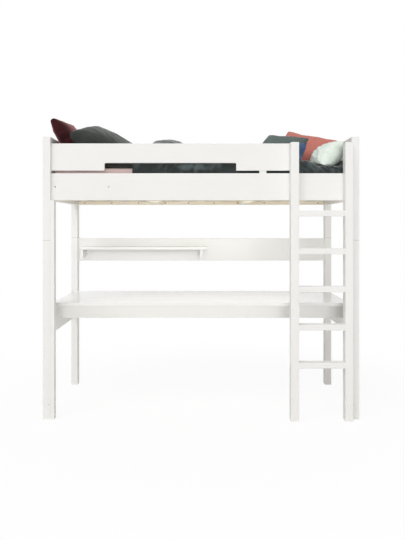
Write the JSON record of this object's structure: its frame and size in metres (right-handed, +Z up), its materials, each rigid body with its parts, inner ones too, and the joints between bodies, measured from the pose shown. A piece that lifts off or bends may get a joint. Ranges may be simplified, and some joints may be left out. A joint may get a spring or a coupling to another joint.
{
  "type": "loft bed",
  "caption": "White loft bed with a bolted ladder, guard rails, a desk and a shelf under its slatted base, dressed with mattress, duvet and loose pillows.",
  "frame": {"origin": "on the floor, under the middle of the bed's box", "axes": "+X along the bed to the ladder's end, +Y from the ladder side to the back, +Z up"},
  "size_m": [2.097, 1.06, 2.0071],
  "materials": {
    "white_paint": "satin white paint on pine boards",
    "desk_lacquer": "semi-gloss white lacquer",
    "bare_pine": "sawn, unpainted",
    "bolt_steel": "zinc plated",
    "pink_sheet": "pink fitted cotton sheet",
    "duvet_cotton": "dark slate cotton cover",
    "burgundy_velvet": "velvet",
    "slate_cotton": "slate grey cotton",
    "coral_cotton": "coral cotton",
    "forest_cotton": "grey green cotton",
    "blue_denim": "coarse blue weave",
    "mint_cotton": "pale mint crinkled cotton"
  },
  "bodies": {
    "frame": {"leg_front_left": "white_paint", "leg_front_right": "white_paint", "leg_back_left": "white_paint", "leg_back_right": "white_paint", "post_front_left": "white_paint", "post_front_right": "white_paint", "post_back_left": "white_paint", "post_back_right": "white_paint", "cap_left": "white_paint", "cap_right": "white_paint", "end_panel_left": "white_paint", "end_panel_right": "white_paint", "desk_bearer_left": "white_paint", "desk_bearer_right": "white_paint", "side_rail_front": "white_paint", "side_rail_back": "white_paint", "guard_rail_front": "white_paint", "guard_spacer": "white_paint", "guard_rail_back": "white_paint", "back_board": "white_paint", "ladder_upright_left": "white_paint", "ladder_upright_right": "white_paint", "leg_splint": "white_paint", "desk_apron": "white_paint", "shelf": "white_paint", "shelf_bracket_left": "white_paint", "shelf_bracket_right": "white_paint", "rung_1": "white_paint", "rung_2": "white_paint", "rung_3": "white_paint", "rung_4": "white_paint", "rung_5": "white_paint", "slat_ledge_front": "bare_pine", "slat_ledge_back": "bare_pine", "cross_tie_left": "bare_pine", "cross_tie_right": "bare_pine", "slats": "bare_pine", "rail_bolts": "bolt_steel", "ladder_bolts": "bolt_steel", "brace_bolts": "bolt_steel", "desk_top": "desk_lacquer", "leg_spigots": "bare_pine"},
    "bedding": {"mattress": "pink_sheet", "duvet": "duvet_cotton", "pillow_burgundy": "burgundy_velvet", "pillow_slate": "slate_cotton", "pillow_coral": "coral_cotton", "pillow_forest": "forest_cotton", "pillow_blue": "blue_denim", "pillow_mint": "mint_cotton"}
  },
  "joints": [
    {"name": "bedding_lift", "type": "slide", "parent": "frame", "child": "bedding", "axis": [0, 0, 1], "range_m": [0, 0.45]}
  ]
}
